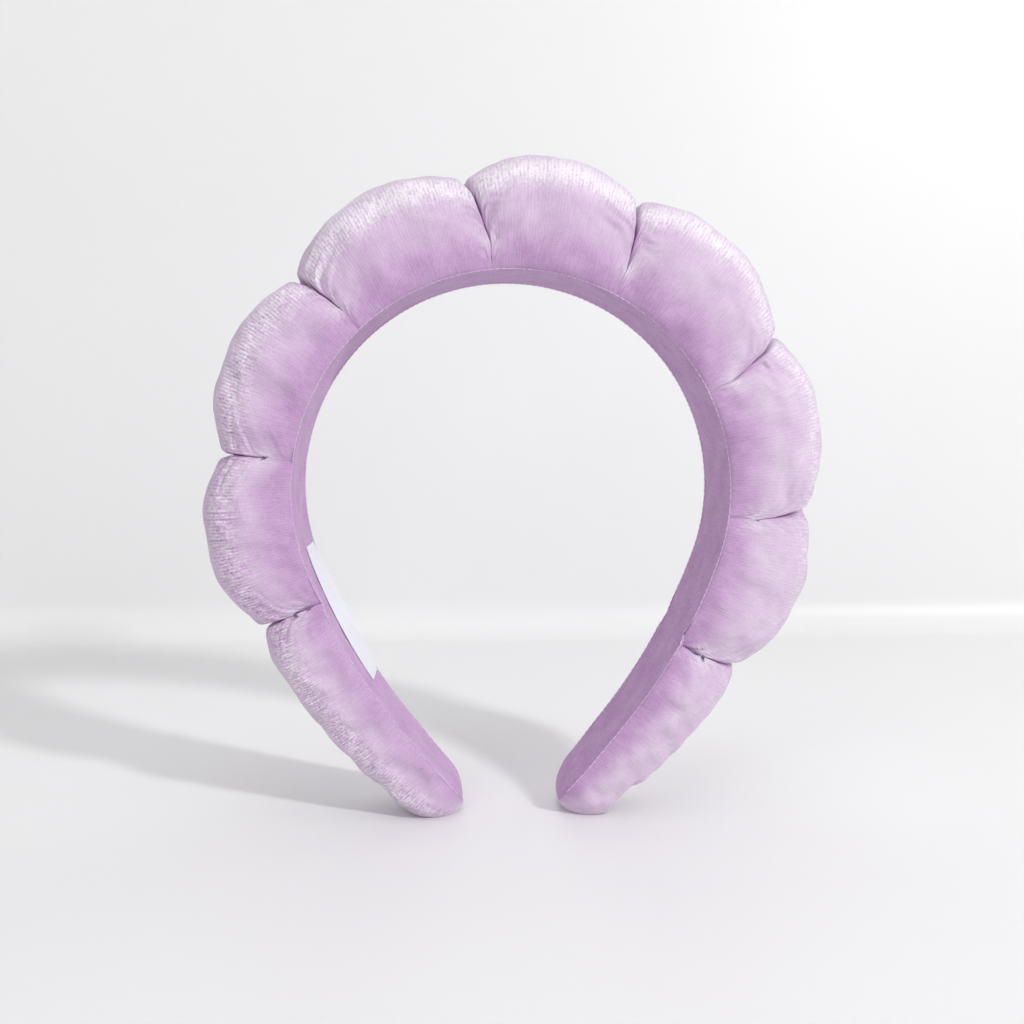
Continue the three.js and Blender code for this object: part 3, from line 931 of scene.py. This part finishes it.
def tube_points(line, radius, sides=8):
    """Rings of points round a line, of one radius or one for each point."""
    line = np.asarray(line, float)
    ahead = np.gradient(line, axis=0)
    ahead /= np.linalg.norm(ahead, axis=1, keepdims=True)
    side = np.cross(ahead, never_ahead)
    side /= np.linalg.norm(side, axis=1, keepdims=True)
    up = np.cross(ahead, side)
    turn = np.linspace(0, 2 * math.pi, sides, endpoint=False)[None, :, None]
    radius = np.broadcast_to(radius, (len(line),))[:, None, None]
    return line[:, None] + radius * (side[:, None] * np.cos(turn) + up[:, None] * np.sin(turn))


def join(name, grids):
    """One mesh out of several tubes with closed ends."""
    verts, faces, start = [], [], 0
    for grid in grids:
        rows, columns = grid.shape[:2]
        index = np.arange(rows * columns).reshape(rows, columns) + start
        ring = np.c_[index, index[:, :1]]
        corners = [ring[:-1, :-1], ring[:-1, 1:], ring[1:, 1:], ring[1:, :-1]]
        faces += np.stack(corners, -1).reshape(-1, 4).tolist()
        faces += [index[0][::-1].tolist(), index[-1].tolist()]
        verts.append(grid.reshape(-1, 3))
        start += rows * columns
    mesh = bpy.data.meshes.new(name)
    mesh.from_pydata(np.concatenate(verts).tolist(), [], faces)
    mesh.shade_smooth()
    return place(name, mesh)


def stitch_line(s_from, s_to, side):
    """Line of one stitch over the seam between the cover and the lining."""
    s = np.linspace(s_from, s_to, 7)
    half, base = base_at(s)
    x, z = along(s, base - droop_at(s) - 0.08 * mm * np.sin(np.linspace(0, math.pi, 7)))
    return np.stack([x, side * (half + 0.12 * mm), z], 1)


def seam_pieces():
    """Small closing stitches in the groove between the cover and the lining's edge."""
    pitch, stitch = 1.9 * mm, 1.8 * mm
    thickness = 0.17 * mm * np.sin(np.linspace(0.6, math.pi - 0.6, 7))
    end = lining_end - 2 * mm
    starts = np.arange(-end, end - pitch, pitch)
    for side, edge in ((-1, "front"), (1, "back")):
        for length in lengths:
            mine = [s for s in starts if length.start <= s + stitch / 2 < length.end]
            grids = [tube_points(stitch_line(s, s + stitch, side), thickness, 6) for s in mine]
            piece = join(f"seam_stitches_{edge}_{length.name}", grids)
            dress(piece, seam_look)
            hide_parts(*length.stands_for(f"seam_{edge}"))
            length.bend(piece)


loop_half, loop_low, loop_high = 14.5 * mm, -1.55 * mm, 5.0 * mm   # of a loop round the neck
knot_h = 4.6 * mm


def cinch_turn(s, wobble=0.12 * mm):
    """One turn of thread round the neck."""
    turn = np.linspace(0, 2 * math.pi, 96, endpoint=False)
    power = 2 / 5
    cosine, sine = (np.sign(wave) * np.abs(wave) ** power for wave in (np.cos(turn), np.sin(turn)))
    y = loop_half * cosine
    h = (loop_low + loop_high) / 2 + (loop_high - loop_low) / 2 * sine
    x, z = along(s + slant(s, y, h) + wobble * np.sin(3 * turn), h)
    line = np.stack([x, y, z], 1)
    return tube_points(np.r_[line, line[:1]], 0.2 * mm, 6)


def cut_end(knot_s, lean):
    """A cut end of thread that stands out from the knot."""
    t = np.linspace(0, 1, 9)
    x, z = along(knot_s + (0.2 + 0.8 * t) * lean[0] * mm, knot_h + 1.2 * t * lean[1] * mm)
    line = np.stack([x, -loop_half - (0.4 + 1.0 * np.sin(2.2 * t)) * mm, z], 1)
    return tube_points(line, 0.12 * mm, 6)


def knot(knot_s):
    """A small knot, wound twice."""
    t = np.linspace(0, 4 * math.pi, 40)
    x, z = along(knot_s + 0.35 * mm * np.cos(t), knot_h + 0.35 * mm * np.sin(t * 1.5))
    line = np.stack([x, -loop_half - (0.5 + 0.3 * np.sin(t)) * mm, z], 1)
    return tube_points(line, 0.17 * mm, 6)


def cinch_pieces():
    """Each loop is two turns of thread with a small knot and two cut ends at the front."""
    for node in sorted(n for n in nodes if n.startswith("cinch_thread")):
        s = middle_s(node)
        draw = np.random.default_rng(int(round(abs(s) / mm)))
        knot_s = s + float(slant(s, -loop_half, knot_h))
        grids = [cinch_turn(s + shift) for shift in (-0.24 * mm, 0.24 * mm)]
        grids += [cut_end(knot_s, draw.uniform(-1, 1, 2)) for _ in range(2)]
        grids.append(knot(knot_s))
        piece = join("twisted_" + node, grids)
        dress(piece, cinch_look)
        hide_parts(node)
        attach(piece, nodes[node]["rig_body"])


seam_pieces()
cinch_pieces()

# ---- label -------------------------------------------------------------------------

label_lift = 1.6 * mm           # how far its back edge stands off the lining halfway along
label_top = lining_face - 0.12 * mm
label_thick = 0.35 * mm
label_middle_y = (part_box("label")[0].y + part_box("label")[1].y) / 2
label_half = (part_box("label")[1].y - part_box("label")[0].y) / 2


def label_grid(s):
    """Points of the label, a little puffed and standing off the lining, and their y on it."""
    low = label_top - label_thick
    points, y = strip_grid(s, label_half, low, label_top, 0.15 * mm, side_count=30, edge_count=5)
    puff = 0.18 * mm * wave_noise(s[:, None] / mm, y / mm, 16, 12, seed=31)
    from_ends = np.clip((s.max() - np.abs(s - s.mean()) * 2) / mm, 0, 1)[:, None]
    inside = np.clip((label_half - np.abs(y)) / (2 * mm), 0, 1) * from_ends
    points = points + grid_normals(points) * (np.abs(puff) * inside)[:, :, None]
    points[:, :, 1] += label_middle_y
    share = (s - s[0]) / (s[-1] - s[0])
    lifted = label_lift * (4 * share * (1 - share))[:, None] * (y + label_half) / (2 * label_half)
    inner, outer = np.stack(along(s, -1 * mm), 1), np.stack(along(s, 0), 1)
    points[:, :, [0, 2]] += lifted[:, :, None] * ((inner - outer) / mm)[:, None]
    return points, y


def label_stitch(s, y_from, length=1.3 * mm):
    """One stitch across the band through the label."""
    t = np.linspace(0, 1, 7)
    x, z = along(s + 0 * t, label_top - label_thick - 0.13 * mm * np.sin(math.pi * t))
    line = np.stack([x, label_middle_y + y_from + length * t, z], 1)
    return tube_points(line, 0.13 * mm, 6)


def label_threads():
    """The two rows of stitches that hold the label."""
    threads = []
    for node in ("label_stitch_lower", "label_stitch_upper"):
        starts = np.arange(-label_half + 1.2 * mm, label_half - 2 * mm, 1.9 * mm)
        thread = join("sewn_" + node, [label_stitch(middle_s(node), y) for y in starts])
        dress(thread, stitch_look)
        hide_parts(node)
        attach(thread, nodes[node]["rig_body"])
        threads.append(thread)
    return threads


def label_pieces():
    """The blank woven label and its stitches."""
    ends = corners_of("label")
    ends_s = to_band(ends[:, 0], ends[:, 2])[0]
    s = np.linspace(ends_s.min(), ends_s.max(), 90)
    points, y = label_grid(s)
    looks = {"along": s[:, None] + 0 * y, "around": y}
    piece = grid_mesh("woven_label", points, looks, True, (True, True))
    dress(piece, satin_look)
    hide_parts("label")
    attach(piece, nodes["label"]["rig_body"])
    label_threads()


label_pieces()

# ---- sponge ------------------------------------------------------------------------

sponge_cut = 2.7 * mm           # off the solids' sizes, to stay inside the settled cover
sponge_end = 0.14               # share of its half length that is rounded off at each end


def sponge_sizes(node):
    """Stations along a sponge, with its half depth and height at each, smoothed."""
    own = corners_of(node)
    own_s, own_h = to_band(own[:, 0], own[:, 2])
    stations = np.linspace(own_s.min() + 1.2 * mm, own_s.max() - 1.2 * mm, 40)
    sizes = []
    for s in stations:
        around = np.argsort(np.abs(own_s - s))[:24]
        sizes.append([np.abs(own[around, 1]).max(), own_h[around].max()])
    kernel = np.ones(7) / 7
    extended = np.pad(np.array(sizes), ((3, 3), (0, 0)), "edge")
    smoothed = [np.convolve(extended[:, i], kernel, "valid") for i in range(2)]
    return stations, np.stack(smoothed, 1) - sponge_cut


def sponge_grid(node):
    """Rounded body with a flat, slightly narrower foot on the hoop."""
    stations, sizes = sponge_sizes(node)
    half, top = sizes[:, :1], sizes[:, 1:]
    share = np.linspace(-1, 1, len(stations))
    into_end = np.clip((np.abs(share) - (1 - sponge_end)) / sponge_end, 0, 1)
    ease = np.sqrt(np.clip(1 - into_end**2, 0.05, 1))[:, None]
    turn = np.linspace(0, 2 * math.pi, 56, endpoint=False)[None]
    cosine, sine = (np.sign(wave) * np.abs(wave) ** 0.8 for wave in (np.cos(turn), np.sin(turn)))
    foot = hoop_top + gap
    middle = foot + (top - foot) * shoulder_level
    rise = np.where(np.sin(turn) > 0, top - middle, middle - foot)
    h = middle + rise * sine * ease
    y = half * cosine * ease * np.where(h < middle, 0.9, 1)
    x, z = along(stations[:, None], h)
    return np.stack([x, y, z], 2)


def sponge_pieces():
    """Open-cell sponge in each puff and tail, under the cover and on the hoop."""
    for node in sorted(n for n in nodes if n.startswith("sponge_")):
        piece = join("foam_" + node, [sponge_grid(node)])
        dress(piece, sponge_look)
        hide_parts(node)
        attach(piece, nodes[node]["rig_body"])


sponge_pieces()

# ---- floor, light and camera -------------------------------------------------------


def floor_material():
    n = Nodes("pale_floor")
    coordinates = n.add("TexCoord").outputs["Object"]
    cloud = n.noise(coordinates, 3.0, 4.0)
    n.set(Base_Color=n.mix(cloud, rgb(0.80, 0.80, 0.80), rgb(0.86, 0.86, 0.87)), Roughness=0.45)
    return n.material


def make_floor():
    """A pale table top that turns up into a wall behind the band."""
    side, front, back, height, curve = 1.6, -1.2, 0.27, 1.2, 0.02
    turn = np.linspace(0, math.pi / 2, 10)
    bend = [(back - curve + curve * math.sin(t), curve - curve * math.cos(t)) for t in turn]
    profile = [(front, 0.0), *bend, (back, height)]
    points = np.array([[(x, y, z) for x in (-side, side)] for y, z in profile])
    floor = grid_mesh("floor", points[::-1])
    floor.data.materials.append(floor_material())


def area_light(name, spot, aim, size, power):
    data = bpy.data.lights.new(name, "AREA")
    data.shape = "DISK"
    data.size, data.energy = size, power
    lamp = place(name, data)
    lamp.location = spot
    lamp.rotation_euler = (Vector(aim) - Vector(spot)).to_track_quat("-Z", "Y").to_euler()


def make_lights():
    """A small strong key from the right, and two large soft ones."""
    middle = (0, 0, 0.1)
    area_light("key", (1.0, -1.07, 1.0), middle, 0.16, 14.5)
    area_light("fill", (-0.9, -1.5, 0.8), middle, 1.2, 6)
    area_light("top", (0.1, -0.3, 1.6), middle, 1.2, 5)
    world = bpy.data.worlds.new("studio")
    bpy.context.scene.world = world
    world.use_nodes = True
    background = world.node_tree.nodes["Background"]
    background.inputs["Color"].default_value = rgb(1, 1, 1)
    background.inputs["Strength"].default_value = 0.37


def make_camera():
    """The photograph's viewpoint: in front, a little to the left and looking slightly down."""
    data = bpy.data.cameras.new("camera")
    data.lens, data.sensor_width = 38.8, 36
    camera = place("camera", data)
    camera.location = (head[0] - 18.5 * mm, -323 * mm, 113.8 * mm)
    camera.rotation_euler = (math.radians(90 - 4.46), 0, math.radians(-3.38))
    bpy.context.scene.camera = camera


make_floor()
make_lights()
make_camera()
bpy.context.scene.view_settings.view_transform = "Standard"
